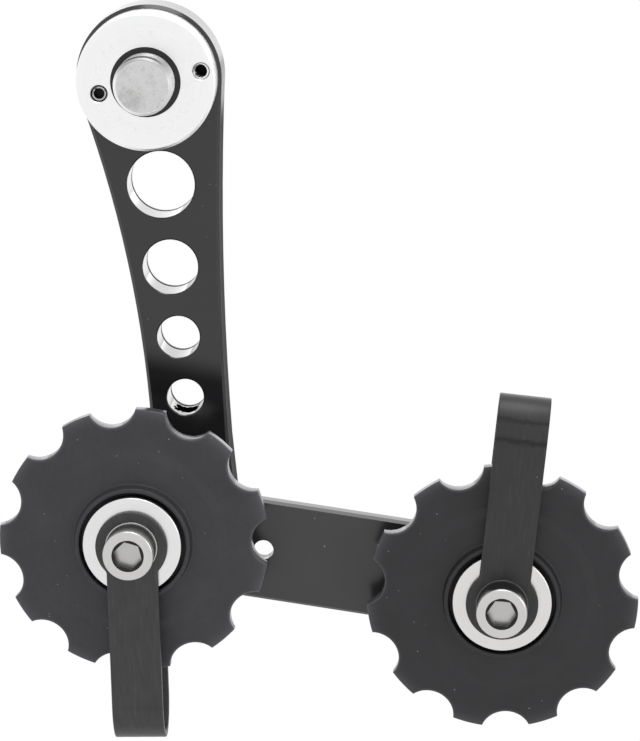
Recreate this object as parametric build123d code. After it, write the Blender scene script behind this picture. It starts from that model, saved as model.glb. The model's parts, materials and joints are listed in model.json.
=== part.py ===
from build123d import *
import math
import os

# Sprung two-pulley chain tensioner, seen from its inboard side.
# X runs to the rear, Y outboard and Z up, in millimetres.
# The origin is on the hanger bolt's axis, in the face of the base disc that meets the hanger.

# Clearances
RUNNING_FIT = 0.04
LOOSE_FIT = 0.3
FACE_GAP = 0.1
SEAT_FIT = 0.02

# Hanger bolt: threaded end inboard, drawn at the thread's pitch diameter,
# shoulder through the arm and socket head outboard
HANGER_THREAD_D = 9.35
HANGER_THREAD_LENGTH = 5.0
HANGER_THREAD_CHAMFER = 0.5
HANGER_SHANK_D = 8.9
HANGER_SHOULDER_D = 12.4
HANGER_HEAD_D = 16.0
HANGER_HEAD_HEIGHT = 4.0
HANGER_HEX = 5.0
HANGER_HEX_DEPTH = 3.0

# Base disc and its two small threaded holes, one of which holds a grub screw
DISC_D = 22.0
DISC_THICKNESS = 4.7
DISC_BORE_D = 11.1
DISC_CHAMFER = 0.4
SPIGOT_HEIGHT = 1.2
SCREW_HOLE_D = 2.5
SCREW_HOLE_DEPTH = 3.6
SCREW_HOLE_MOUTH = 0.2
STOP_SCREW_HOLE = (-7.36, -1.92)
SPARE_SCREW_HOLE = (8.73, 1.79)
STOP_SCREW_LENGTH = 3.0
STOP_SCREW_RECESS = 0.4
STOP_SCREW_HEX = 1.5
STOP_SCREW_HEX_DEPTH = 1.2
SLEEVE_RECESS = 0.2

# Arm: head, waisted blade with four holes, round lower end
ARM_LENGTH = 75.17
ARM_TILT = 5.96
ARM_THICKNESS = 7.2
ARM_CHAMFER = 0.5
HEAD_D = 23.1
LOWER_END_D = 13.6
BLADE_MIDDLE = 36.0
BLADE_WAIST = 60.0
FRONT_TANGENT = 13.45
FRONT_MIDDLE_WIDTH = 6.26
FRONT_WAIST_WIDTH = 6.26
REAR_TANGENT = 8.55
REAR_MIDDLE_WIDTH = 7.52
REAR_WAIST_WIDTH = 6.19
LIGHTENING_HOLES = ((17.2, 10.75), (30.6, 8.83), (42.1, 6.83), (52.05, 5.9))
HOLE_CHAMFER = 0.2
HEAD_WALL = 1.9
LOWER_WALL = 1.4
FLOOR = 2.2

# Swivel stop inside the head: a rib in the arm runs in a notch of the disc's spigot
SWIVEL_RANGE = 25.0
RIB_DEPTH = 1.6
RIB_HALF_ANGLE = 8.0
RIB_ANGLE = 135.0
STOP_PLAY = 1.0

# Plain bushes
HEAD_BUSH_WALL = 0.8
HEAD_BUSH_FLANGE_D = 18.0
PIVOT_BUSH_WALL = 0.5
PIVOT_BUSH_FLANGE_D = 10.0
FLANGE_THICKNESS = 0.7

# Torsion springs of square wire
HEAD_SPRING_WIRE = 1.2
HEAD_SPRING_MEAN_D = 16.6
CAGE_SPRING_WIRE = 1.1
CAGE_SPRING_MEAN_D = 8.7
COIL_GAP = 0.3
SPRING_LEG = 0.8
HEAD_SPRING_START = 250.0
CAGE_SPRING_START = 215.0

# Cage plate
PULLEY_SPACING = 59.58
GUIDE_OFFSET = 10.08
CAGE_SLOPE = -8.15
PLATE_WIDTH = 16.5
PLATE_THICKNESS = 2.7
PLATE_CHAMFER = 0.45
PLATE_GAP = 0.3
PLATE_HOLE_D = 3.2
PLATE_HOLE_FROM_GUIDE = 20.5

# Cage pivot
AXLE_D = 5.9
AXLE_RIVET_D = 5.0
AXLE_HEAD_D = 6.8
AXLE_HEAD_HEIGHT = 0.7
AXLE_TAIL = 0.9
CIRCLIP_D = 9.0
CIRCLIP_THICKNESS = 0.8
CIRCLIP_GROOVE_D = 4.8
CIRCLIP_MOUTH = 70.0
STOP_PIN_D = 2.0
STOP_PIN_LENGTH = 4.0
STOP_PIN_GAP = 0.15

# Pulley wheel
TOOTH_COUNT = 11
TIP_D = 43.3
ROOT_D = 37.8
VALLEY_RADIUS = 4.1
TIP_THICKNESS = 2.0
RIM_THICKNESS = 2.8
WEB_THICKNESS = 3.5
WEB_STEP_D = 28.0
WEB_STEP_SLOPE = 0.8
LIP_D = 19.6
LIP_WALL = 0.9
LIP_THICKNESS = 7.3
LIP_GROOVE = 0.35
GUIDE_TOOTH_ANGLE = 16.9
TENSION_TOOTH_ANGLE = 26.5

# Ball bearing inside each wheel
BEARING_D = 14.0
BEARING_WIDTH = 6.0
RACE_WALL = 1.3
BALL_COUNT = 7

# Side caps
CAP_D = 16.25
CAP_THICKNESS = 1.0
CAP_BOSS_D = 7.2
CAP_BOSS_HEIGHT = 0.15
CAP_CHAMFER = 0.2

# Chain guide clip, folded from sheet
SHEET = 1.0
CLIP_RING_D = 11.5
CLIP_WIDTH = 8.2
CLIP_REACH = 33.1
FOLD_HEIGHT = 6.5
CLIP_NECK_FILLET = 0.8
GUIDE_CLIP_ANGLE = -88.5
TENSION_CLIP_ANGLE = 84.2

# Pulley bolts
BOLT_D = 5.0
BOLT_HEAD_D = 8.1
BOLT_HEAD_HEIGHT = 5.0
BOLT_HEAD_CHAMFER = 0.4
BOLT_HEX = 4.0
BOLT_HEX_DEPTH = 2.6
BOLT_HEX_MOUTH = 0.3
BOLT_END_GAP = 0.2
BOLT_END_CHAMFER = 0.4


def polar(radius, angle):
    """Point in the X-Z plane at an angle counted from +X towards +Z."""
    turn = math.radians(angle)
    return (radius * math.cos(turn), radius * math.sin(turn))


def along(start, distance, angle):
    step = polar(distance, angle)
    return (start[0] + step[0], start[1] + step[1])


# Stations along Y, from the disc's face outboard
ARM_FRONT = DISC_THICKNESS + FACE_GAP
ARM_BACK = ARM_FRONT + ARM_THICKNESS
FLOOR_FRONT = ARM_BACK - FLOOR
FLANGE_BACK = ARM_BACK + FLANGE_THICKNESS
PLATE_BACK = ARM_FRONT - PLATE_GAP
PLATE_FRONT = PLATE_BACK - PLATE_THICKNESS
REAR_CAP_BACK = PLATE_FRONT - SHEET
HUB_LENGTH = BEARING_WIDTH + 2 * (CAP_BOSS_HEIGHT + CAP_THICKNESS)
FRONT_CAP_FACE = REAR_CAP_BACK - HUB_LENGTH
PULLEY_MIDDLE = (FRONT_CAP_FACE + REAR_CAP_BACK) / 2
CLIP_FRONT = FRONT_CAP_FACE - SHEET
BOLT_FRONT = CLIP_FRONT - BOLT_HEAD_HEIGHT

# Axes in the X-Z plane
PIVOT = along((0, 0), ARM_LENGTH, ARM_TILT - 90)
GUIDE = along(PIVOT, -GUIDE_OFFSET, CAGE_SLOPE)
TENSION = along(GUIDE, PULLEY_SPACING, CAGE_SLOPE)
PLATE_HOLE = along(GUIDE, PLATE_HOLE_FROM_GUIDE, CAGE_SLOPE)

# Radii that several pieces share
HEAD_POCKET_R = HEAD_D / 2 - HEAD_WALL
LOWER_POCKET_R = LOWER_END_D / 2 - LOWER_WALL
HEAD_BUSH_R = HANGER_SHOULDER_D / 2 + RUNNING_FIT + HEAD_BUSH_WALL
PIVOT_BUSH_R = AXLE_D / 2 + RUNNING_FIT + PIVOT_BUSH_WALL
THREAD_HOLE_R = BOLT_D / 2 + SEAT_FIT
INNER_RACE_R = THREAD_HOLE_R + RACE_WALL
OUTER_RACE_R = BEARING_D / 2 - RACE_WALL
BALL_ORBIT_R = (INNER_RACE_R + OUTER_RACE_R) / 2
BALL_R = (OUTER_RACE_R - INNER_RACE_R) / 2 - RUNNING_FIT


def place(part, axis):
    return Pos(axis[0], 0, axis[1]) * part


def slab(profile, y_front, y_back):
    """Profile drawn in X and Z, given thickness from y_front to y_back."""
    return extrude(Plane.XZ.offset(-y_back) * profile, amount=y_back - y_front)


def rod(radius, y_front, y_back):
    return slab(Circle(radius), y_front, y_back)


def turned(outline):
    """Solid of revolution about the Y axis from (radius, y) corners."""
    corners = outline + [outline[0]]
    return revolve(make_face(Polyline(*corners)), Axis.Y)


def ring(inner, outer, y_front, y_back):
    return turned([(inner, y_front), (outer, y_front), (outer, y_back), (inner, y_back)])


def hexagon(across_flats):
    return RegularPolygon(across_flats / 2, 6, major_radius=False)


def sector(inner, outer, angle_from, angle_to):
    """Flat piece of a ring between two angles."""
    edges = [
        Line(polar(inner, angle_from), polar(outer, angle_from)),
        ThreePointArc(
            polar(outer, angle_from),
            polar(outer, (angle_from + angle_to) / 2),
            polar(outer, angle_to),
        ),
        Line(polar(outer, angle_to), polar(inner, angle_to)),
        ThreePointArc(
            polar(inner, angle_to),
            polar(inner, (angle_from + angle_to) / 2),
            polar(inner, angle_from),
        ),
    ]
    return make_face(edges)


# Base

def hanger_bolt():
    thread = HANGER_THREAD_D / 2
    shoulder = HANGER_SHOULDER_D / 2
    head = HANGER_HEAD_D / 2
    head_front = FLANGE_BACK + FACE_GAP
    head_back = head_front + HANGER_HEAD_HEIGHT
    body = turned([
        (0, -HANGER_THREAD_LENGTH),
        (thread - HANGER_THREAD_CHAMFER, -HANGER_THREAD_LENGTH),
        (thread, HANGER_THREAD_CHAMFER - HANGER_THREAD_LENGTH),
        (thread, 0),
        (HANGER_SHANK_D / 2, 0),
        (HANGER_SHANK_D / 2, DISC_THICKNESS),
        (shoulder, DISC_THICKNESS),
        (shoulder, head_front),
        (head, head_front),
        (head, head_back - HANGER_THREAD_CHAMFER),
        (head - HANGER_THREAD_CHAMFER, head_back),
        (0, head_back),
    ])
    return body - slab(hexagon(HANGER_HEX), head_back - HANGER_HEX_DEPTH, head_back)


def screw_hole():
    mouth = SCREW_HOLE_D / 2 + SCREW_HOLE_MOUTH
    return turned([
        (0, 0),
        (mouth, 0),
        (SCREW_HOLE_D / 2, SCREW_HOLE_MOUTH),
        (SCREW_HOLE_D / 2, SCREW_HOLE_DEPTH),
        (0, SCREW_HOLE_DEPTH),
    ])


def leg_hole_radius(wire):
    return wire / math.sqrt(2) + FACE_GAP


def base_disc():
    rim = DISC_D / 2
    bore = DISC_BORE_D / 2
    spigot = HEAD_POCKET_R - LOOSE_FIT
    shoulder_bore = HANGER_SHOULDER_D / 2 + LOOSE_FIT
    spigot_back = DISC_THICKNESS + SPIGOT_HEIGHT
    disc = turned([
        (bore, 0),
        (rim - DISC_CHAMFER, 0),
        (rim, DISC_CHAMFER),
        (rim, DISC_THICKNESS),
        (spigot, DISC_THICKNESS),
        (spigot, spigot_back),
        (shoulder_bore, spigot_back),
        (shoulder_bore, DISC_THICKNESS),
        (bore, DISC_THICKNESS),
    ])
    for hole in (STOP_SCREW_HOLE, SPARE_SCREW_HOLE):
        disc -= place(screw_hole(), hole)
    notch = sector(
        HEAD_POCKET_R - RIB_DEPTH - LOOSE_FIT,
        HEAD_POCKET_R,
        RIB_ANGLE - RIB_HALF_ANGLE - SWIVEL_RANGE - STOP_PLAY,
        RIB_ANGLE + RIB_HALF_ANGLE + STOP_PLAY,
    )
    disc -= slab(notch, DISC_THICKNESS, spigot_back)
    leg_hole = leg_hole_radius(HEAD_SPRING_WIRE)
    leg_seat = rod(leg_hole, spigot_back - SPRING_LEG - FACE_GAP, spigot_back)
    return disc - place(leg_seat, head_spring_legs()[0])


def bolt_sleeve():
    inner = HANGER_SHANK_D / 2 + SEAT_FIT
    outer = DISC_BORE_D / 2 - SEAT_FIT
    return ring(inner, outer, SLEEVE_RECESS, DISC_THICKNESS)


def stop_screw():
    outer = SCREW_HOLE_D / 2 - SEAT_FIT
    front = STOP_SCREW_RECESS
    screw = rod(outer, front, front + STOP_SCREW_LENGTH)
    screw -= slab(hexagon(STOP_SCREW_HEX), front, front + STOP_SCREW_HEX_DEPTH)
    return place(screw, STOP_SCREW_HOLE)


# Springs

def coil_turns(wire, y_front, y_back):
    """Whole quarter turns that fit between two faces."""
    room = y_back - y_front - wire - 2 * FACE_GAP
    return math.floor(4 * room / (wire + COIL_GAP)) / 4


def leg_points(mean_d, turns, start_angle):
    """Axis points of a spring's front and back legs."""
    return polar(mean_d / 2, start_angle), polar(mean_d / 2, start_angle - 360 * turns)


def coil_spring(wire, mean_d, turns, y_front, y_back, start_angle):
    """Square-wire coil with a straight leg at each end, along Y."""
    pitch = (y_back - y_front - wire - 2 * FACE_GAP) / turns
    first = y_front + FACE_GAP + wire / 2
    path = Helix(pitch, pitch * turns, mean_d / 2, center=(0, 0, 0), direction=(0, 1, 0))
    start = path @ 0
    radial = Vector(start.X, 0, start.Z)
    section = Plane(start, x_dir=radial, z_dir=path % 0) * Rectangle(wire, wire)
    coil = sweep(section, path=path, is_frenet=True)
    begin = math.degrees(math.atan2(start.Z, start.X))
    coil = Pos(0, first, 0) * Rot(Y=begin - start_angle) * coil
    last = first + pitch * turns
    front_leg, back_leg = leg_points(mean_d, turns, start_angle)
    half = wire / 2
    coil += place(slab(Rectangle(wire, wire), y_front - SPRING_LEG, first + half), front_leg)
    coil += place(slab(Rectangle(wire, wire), last - half, y_back + SPRING_LEG), back_leg)
    return coil


HEAD_SPRING_FRONT = DISC_THICKNESS + SPIGOT_HEIGHT
HEAD_SPRING_TURNS = coil_turns(HEAD_SPRING_WIRE, HEAD_SPRING_FRONT, FLOOR_FRONT)
CAGE_SPRING_TURNS = coil_turns(CAGE_SPRING_WIRE, PLATE_BACK, FLOOR_FRONT)


def head_spring_legs():
    return leg_points(HEAD_SPRING_MEAN_D, HEAD_SPRING_TURNS, HEAD_SPRING_START)


def cage_spring_legs():
    return leg_points(CAGE_SPRING_MEAN_D, CAGE_SPRING_TURNS, CAGE_SPRING_START)


def head_spring():
    return coil_spring(
        HEAD_SPRING_WIRE, HEAD_SPRING_MEAN_D, HEAD_SPRING_TURNS,
        HEAD_SPRING_FRONT, FLOOR_FRONT, HEAD_SPRING_START,
    )


def cage_spring():
    spring = coil_spring(
        CAGE_SPRING_WIRE, CAGE_SPRING_MEAN_D, CAGE_SPRING_TURNS,
        PLATE_BACK, FLOOR_FRONT, CAGE_SPRING_START,
    )
    return place(spring, PIVOT)


# Arm

def blade_corners(side, tangent, middle_width, waist_width):
    """Points of one waisted edge, with the arm hanging straight down."""
    start = polar(HEAD_D / 2, -tangent)
    return (
        (side * start[0], start[1]),
        (side * middle_width, -BLADE_MIDDLE),
        (side * waist_width, -BLADE_WAIST),
        (side * waist_width, -ARM_LENGTH),
    )


def arm_outline():
    front = blade_corners(-1, FRONT_TANGENT, FRONT_MIDDLE_WIDTH, FRONT_WAIST_WIDTH)
    rear = blade_corners(1, REAR_TANGENT, REAR_MIDDLE_WIDTH, REAR_WAIST_WIDTH)
    blade = make_face([
        Line(rear[0], front[0]),
        ThreePointArc(*front[:3]),
        Line(front[2], front[3]),
        Line(front[3], rear[3]),
        Line(rear[3], rear[2]),
        ThreePointArc(*rear[2::-1]),
    ])
    outline = blade + Circle(HEAD_D / 2) + Pos(0, -ARM_LENGTH) * Circle(LOWER_END_D / 2)
    return Rot(Z=ARM_TILT) * outline


def chamfered_rod(radius, y_front, y_back, bevel):
    """Cutter for a through hole with a bevel at both mouths."""
    return turned([
        (0, y_front),
        (radius + bevel, y_front),
        (radius, y_front + bevel),
        (radius, y_back - bevel),
        (radius + bevel, y_back),
        (0, y_back),
    ])


def tension_arm():
    arm = slab(arm_outline(), ARM_FRONT, ARM_BACK)
    faces = arm.edges().group_by(Axis.Y)
    arm = chamfer(faces[0] + faces[-1], ARM_CHAMFER)
    for distance, diameter in LIGHTENING_HOLES:
        hole = chamfered_rod(diameter / 2, ARM_FRONT, ARM_BACK, HOLE_CHAMFER)
        arm -= place(hole, along((0, 0), distance, ARM_TILT - 90))
    arm -= rod(HEAD_POCKET_R, ARM_FRONT, FLOOR_FRONT)
    arm -= rod(HEAD_BUSH_R + SEAT_FIT, FLOOR_FRONT, ARM_BACK)
    arm -= place(rod(LOWER_POCKET_R, ARM_FRONT, FLOOR_FRONT), PIVOT)
    arm -= place(rod(PIVOT_BUSH_R + SEAT_FIT, FLOOR_FRONT, ARM_BACK), PIVOT)
    rib = sector(
        HEAD_POCKET_R - RIB_DEPTH,
        HEAD_POCKET_R + HEAD_WALL / 2,
        RIB_ANGLE - RIB_HALF_ANGLE,
        RIB_ANGLE + RIB_HALF_ANGLE,
    )
    arm += slab(rib, ARM_FRONT, DISC_THICKNESS + SPIGOT_HEIGHT)
    leg_floor = FLOOR_FRONT + 2 * SPRING_LEG
    head_leg = rod(leg_hole_radius(HEAD_SPRING_WIRE), FLOOR_FRONT, leg_floor)
    arm -= place(head_leg, head_spring_legs()[1])
    cage_leg = rod(leg_hole_radius(CAGE_SPRING_WIRE), FLOOR_FRONT, leg_floor)
    arm -= place(place(cage_leg, cage_spring_legs()[1]), PIVOT)
    return arm


def flanged_bush(inner, outer, flange, y_front):
    return turned([
        (inner, y_front),
        (outer, y_front),
        (outer, ARM_BACK),
        (flange, ARM_BACK),
        (flange, FLANGE_BACK),
        (inner, FLANGE_BACK),
    ])


def head_bush():
    inner = HANGER_SHOULDER_D / 2 + RUNNING_FIT
    front = DISC_THICKNESS + SPIGOT_HEIGHT + LOOSE_FIT
    return flanged_bush(inner, HEAD_BUSH_R, HEAD_BUSH_FLANGE_D / 2, front)


def pivot_bush():
    inner = AXLE_D / 2 + RUNNING_FIT
    bush = flanged_bush(inner, PIVOT_BUSH_R, PIVOT_BUSH_FLANGE_D / 2, ARM_FRONT)
    return place(bush, PIVOT)


# Cage

def stop_pin_axis():
    """Where the pin clears the arm's round end and rests beside its rear edge."""
    pin = STOP_PIN_D / 2
    orbit = LOWER_END_D / 2 + LOOSE_FIT + pin
    sideways = REAR_WAIST_WIDTH + pin + STOP_PIN_GAP
    offset = math.degrees(math.asin(sideways / orbit))
    return along(PIVOT, orbit, ARM_TILT + 90 - offset)


def cage_plate():
    outline = SlotCenterToCenter(PULLEY_SPACING, PLATE_WIDTH)
    centre = along(GUIDE, PULLEY_SPACING / 2, CAGE_SLOPE)
    plate = slab(Pos(*centre) * Rot(Z=CAGE_SLOPE) * outline, PLATE_FRONT, PLATE_BACK)
    faces = plate.edges().group_by(Axis.Y)
    plate = chamfer(faces[0] + faces[-1], PLATE_CHAMFER)
    leg = along(PIVOT, CAGE_SPRING_MEAN_D / 2, CAGE_SPRING_START)
    holes = (
        (GUIDE, THREAD_HOLE_R),
        (TENSION, THREAD_HOLE_R),
        (PIVOT, AXLE_RIVET_D / 2 + SEAT_FIT),
        (PLATE_HOLE, PLATE_HOLE_D / 2),
        (stop_pin_axis(), STOP_PIN_D / 2 + SEAT_FIT),
        (leg, leg_hole_radius(CAGE_SPRING_WIRE)),
    )
    for axis, radius in holes:
        plate -= place(rod(radius, PLATE_FRONT, PLATE_BACK), axis)
    return plate


def cage_stop_pin():
    pin = rod(STOP_PIN_D / 2, PLATE_FRONT, PLATE_BACK + STOP_PIN_LENGTH)
    return place(pin, stop_pin_axis())


def pivot_axle():
    body = AXLE_D / 2
    rivet = AXLE_RIVET_D / 2
    head = AXLE_HEAD_D / 2
    groove = CIRCLIP_GROOVE_D / 2
    groove_front = FLANGE_BACK + FACE_GAP
    groove_back = groove_front + CIRCLIP_THICKNESS
    tail = groove_back + AXLE_TAIL
    bevel = AXLE_TAIL / 2
    axle = turned([
        (0, PLATE_FRONT - AXLE_HEAD_HEIGHT),
        (head - bevel, PLATE_FRONT - AXLE_HEAD_HEIGHT),
        (head, PLATE_FRONT),
        (rivet, PLATE_FRONT),
        (rivet, PLATE_BACK),
        (body, PLATE_BACK),
        (body, groove_front),
        (groove, groove_front),
        (groove, groove_back),
        (body, groove_back),
        (body, tail - bevel),
        (body - bevel, tail),
        (0, tail),
    ])
    return place(axle, PIVOT)


def pivot_circlip():
    front = FLANGE_BACK + FACE_GAP
    inner = CIRCLIP_GROOVE_D / 2 + SEAT_FIT
    clip = sector(inner, CIRCLIP_D / 2, CIRCLIP_MOUTH / 2, 360 - CIRCLIP_MOUTH / 2)
    return place(slab(clip, front, front + CIRCLIP_THICKNESS), PIVOT)


def chain_clip(axis, angle):
    """Folded strip: ring under the bolt head, strap over the wheel, fold and strap behind."""
    middle = PULLEY_MIDDLE
    half_depth = PLATE_FRONT - middle
    fold_start = CLIP_REACH - FOLD_HEIGHT
    arch = Pos(fold_start, middle) * Ellipse(FOLD_HEIGHT, half_depth)
    hollow = Pos(fold_start, middle) * Ellipse(FOLD_HEIGHT - SHEET, half_depth - SHEET)
    straps = Pos(fold_start / 2, middle) * Rectangle(fold_start, 2 * half_depth)
    room = Pos(fold_start / 2, middle) * Rectangle(fold_start, 2 * (half_depth - SHEET))
    side_view = arch + straps - hollow - room
    strip = extrude(side_view, amount=CLIP_WIDTH / 2, both=True)
    plan = Circle(CLIP_RING_D / 2) + Pos(CLIP_REACH / 2, 0) * Rectangle(CLIP_REACH, CLIP_WIDTH)
    necks = [corner for corner in plan.vertices() if 0 < corner.X < CLIP_RING_D / 2]
    plan = fillet(necks, CLIP_NECK_FILLET) - Circle(THREAD_HOLE_R)
    rings = slab(plan, CLIP_FRONT, FRONT_CAP_FACE) + slab(plan, REAR_CAP_BACK, PLATE_FRONT)
    reach_of_rings = Pos(0, middle, 0) * Box(2 * fold_start, 4 * half_depth, 2 * CLIP_RING_D)
    fold = strip - reach_of_rings
    clip = fold + rings.intersect(reach_of_rings)
    return place(Rot(Y=-angle) * clip, axis)


def pulley_bolt(axis):
    head = BOLT_HEAD_D / 2
    shank = BOLT_D / 2
    end = PLATE_BACK - BOLT_END_GAP
    bolt = turned([
        (0, BOLT_FRONT),
        (head - BOLT_HEAD_CHAMFER, BOLT_FRONT),
        (head, BOLT_FRONT + BOLT_HEAD_CHAMFER),
        (head, CLIP_FRONT),
        (shank, CLIP_FRONT),
        (shank, end - BOLT_END_CHAMFER),
        (shank - BOLT_END_CHAMFER, end),
        (0, end),
    ])
    bolt -= slab(hexagon(BOLT_HEX), BOLT_FRONT, BOLT_FRONT + BOLT_HEX_DEPTH)
    corner = BOLT_HEX / math.sqrt(3) + BOLT_HEX_MOUTH
    bolt -= turned([(0, BOLT_FRONT), (corner, BOLT_FRONT), (0, BOLT_FRONT + corner / 2)])
    return place(bolt, axis)


def side_cap(face, inward):
    """Bright cap whose small boss bears on the inner race."""
    bore = THREAD_HOLE_R
    rim = CAP_D / 2
    boss = CAP_BOSS_D / 2
    under = face + inward * CAP_THICKNESS
    seat = under + inward * CAP_BOSS_HEIGHT
    return turned([
        (bore, face),
        (rim - CAP_CHAMFER, face),
        (rim, face + inward * CAP_CHAMFER),
        (rim, under),
        (boss, under),
        (boss, seat),
        (bore, seat),
    ])


def inner_race():
    half = BEARING_WIDTH / 2
    return ring(THREAD_HOLE_R, INNER_RACE_R, PULLEY_MIDDLE - half, PULLEY_MIDDLE + half)


# Pulleys

def outer_race():
    half = BEARING_WIDTH / 2
    outer = BEARING_D / 2 - SEAT_FIT
    return ring(OUTER_RACE_R, outer, PULLEY_MIDDLE - half, PULLEY_MIDDLE + half)


def balls():
    step = 360 / BALL_COUNT
    group = []
    for index in range(BALL_COUNT):
        x, z = polar(BALL_ORBIT_R, index * step)
        group.append(Pos(x, PULLEY_MIDDLE, z) * Sphere(BALL_R))
    return Compound(group)


def wheel(tooth_angle):
    lip = LIP_D / 2
    lip_inner = lip - LIP_WALL
    step = WEB_STEP_D / 2
    root = ROOT_D / 2
    tip = TIP_D / 2
    hub = BEARING_WIDTH / 2
    side = [
        (BEARING_D / 2, hub),
        (lip_inner, hub),
        (lip_inner, LIP_THICKNESS / 2),
        (lip, LIP_THICKNESS / 2),
        (lip, WEB_THICKNESS / 2 - LIP_GROOVE),
        (lip + LIP_GROOVE, WEB_THICKNESS / 2),
        (step, WEB_THICKNESS / 2),
        (step + WEB_STEP_SLOPE, RIM_THICKNESS / 2),
        (root, RIM_THICKNESS / 2),
        (tip, TIP_THICKNESS / 2),
    ]
    front = [(radius, PULLEY_MIDDLE - offset) for radius, offset in side]
    back = [(radius, PULLEY_MIDDLE + offset) for radius, offset in reversed(side)]
    body = turned(front + back)
    half = RIM_THICKNESS / 2
    valley = rod(VALLEY_RADIUS, PULLEY_MIDDLE - half, PULLEY_MIDDLE + half)
    pitch_angle = 360 / TOOTH_COUNT
    for index in range(TOOTH_COUNT):
        centre = polar(root + VALLEY_RADIUS, tooth_angle + (index + 0.5) * pitch_angle)
        body -= place(valley, centre)
    return body


def build_nodes():
    nodes = {
        "hanger_bolt": hanger_bolt(),
        "base_disc": base_disc(),
        "bolt_sleeve": bolt_sleeve(),
        "stop_screw": stop_screw(),
        "head_spring": head_spring(),
        "tension_arm": tension_arm(),
        "head_bush": head_bush(),
        "pivot_bush": pivot_bush(),
        "cage_plate": cage_plate(),
        "pivot_axle": pivot_axle(),
        "pivot_circlip": pivot_circlip(),
        "cage_spring": cage_spring(),
        "cage_stop_pin": cage_stop_pin(),
    }
    pulleys = (
        ("guide", GUIDE, GUIDE_CLIP_ANGLE, GUIDE_TOOTH_ANGLE),
        ("tension", TENSION, TENSION_CLIP_ANGLE, TENSION_TOOTH_ANGLE),
    )
    for name, axis, clip_angle, tooth_angle in pulleys:
        nodes[name + "_clip"] = chain_clip(axis, clip_angle)
        nodes[name + "_bolt"] = pulley_bolt(axis)
        nodes[name + "_front_cap"] = place(side_cap(FRONT_CAP_FACE, 1), axis)
        nodes[name + "_rear_cap"] = place(side_cap(REAR_CAP_BACK, -1), axis)
        nodes[name + "_inner_race"] = place(inner_race(), axis)
        nodes[name + "_outer_race"] = place(outer_race(), axis)
        nodes[name + "_balls"] = place(balls(), axis)
        nodes[name + "_wheel"] = place(wheel(tooth_angle), axis)
    return nodes


def main():
    os.makedirs("parts", exist_ok=True)
    for name, solid in build_nodes().items():
        export_step(solid, "parts/" + name + ".step")


main()
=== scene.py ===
# %% [markdown]
# Bicycle chain tensioner
#
# A hub-gear bicycle keeps its chain tight with this part. A bright disc and a threaded stud fix it to the
# frame, a black tapered arm hangs from them, and a sprung cage at its foot carries two toothed pulleys.
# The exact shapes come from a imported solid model, which is loaded first and stays as it is. This script adds
# what a solid model lacks: rounded moulded edges, a cut thread, real finishes, light and a camera.

# %% Load the solid model
import json
import math

import bmesh
import bpy
from mathutils import Matrix, Vector

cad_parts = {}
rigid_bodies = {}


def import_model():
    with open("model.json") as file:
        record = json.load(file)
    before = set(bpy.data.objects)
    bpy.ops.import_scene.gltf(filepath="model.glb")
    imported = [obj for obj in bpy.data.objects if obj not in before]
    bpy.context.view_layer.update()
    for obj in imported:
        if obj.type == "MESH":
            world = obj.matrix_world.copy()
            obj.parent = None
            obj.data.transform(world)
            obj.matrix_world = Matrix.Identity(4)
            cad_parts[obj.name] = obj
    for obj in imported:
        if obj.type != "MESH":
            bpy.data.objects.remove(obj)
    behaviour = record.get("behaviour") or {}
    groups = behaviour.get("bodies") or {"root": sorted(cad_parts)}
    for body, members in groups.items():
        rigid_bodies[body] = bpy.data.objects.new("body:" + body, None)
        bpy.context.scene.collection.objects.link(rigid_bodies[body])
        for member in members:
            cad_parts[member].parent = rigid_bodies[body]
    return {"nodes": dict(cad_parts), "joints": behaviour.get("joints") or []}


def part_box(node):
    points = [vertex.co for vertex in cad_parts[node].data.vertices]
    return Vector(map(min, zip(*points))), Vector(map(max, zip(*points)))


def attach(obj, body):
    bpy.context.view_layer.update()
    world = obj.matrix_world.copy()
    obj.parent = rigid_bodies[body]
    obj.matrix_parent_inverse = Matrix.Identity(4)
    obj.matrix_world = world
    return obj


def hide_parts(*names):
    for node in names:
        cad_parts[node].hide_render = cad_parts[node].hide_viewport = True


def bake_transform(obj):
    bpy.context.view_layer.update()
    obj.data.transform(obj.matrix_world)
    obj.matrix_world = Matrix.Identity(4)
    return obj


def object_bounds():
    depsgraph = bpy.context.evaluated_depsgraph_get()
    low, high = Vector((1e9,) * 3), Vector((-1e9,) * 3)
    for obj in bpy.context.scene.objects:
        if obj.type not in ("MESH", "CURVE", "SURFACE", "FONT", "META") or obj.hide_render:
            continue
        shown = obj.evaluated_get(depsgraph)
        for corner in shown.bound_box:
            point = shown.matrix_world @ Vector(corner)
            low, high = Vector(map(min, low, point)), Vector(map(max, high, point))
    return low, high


for leftover in list(bpy.data.objects):
    bpy.data.objects.remove(leftover)
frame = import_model()
cad_low, cad_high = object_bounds()
scene = bpy.context.scene
nodes = frame["nodes"]
joints = {joint["name"]: joint for joint in frame["joints"]}
print("nodes:", len(nodes), "size in mm:", [round(1000 * side, 1) for side in cad_high - cad_low])

# %% [markdown]
# Sizes are written in millimetres, because that is how a workshop thinks, and turned into metres with MM.
# The axes of the pulleys come from the joints, so a change in the solid model moves everything with it.

# %% Units and axes
MM = 0.001


def axis_of(joint):
    """The X and Z place of a hinge, in millimetres."""
    place = joints[joint]["pos_m"]
    return place[0] / MM, place[2] / MM


HANGER = axis_of("arm_swivel")
PIVOT = axis_of("cage_pivot")
PULLEYS = {"guide": axis_of("guide_spin"), "tension": axis_of("tension_spin")}
print("pulleys at", PULLEYS, "and cage pivot at", PIVOT)

# %% [markdown]
# Node trees are quicker to read as sums than as boxes and cables. A Wire holds one output socket, and
# arithmetic on it adds the Math nodes. A Board adds every other node in one way: its type, its settings,
# and then the values or links of its sockets. Both serve materials and geometry trees alike.


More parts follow.
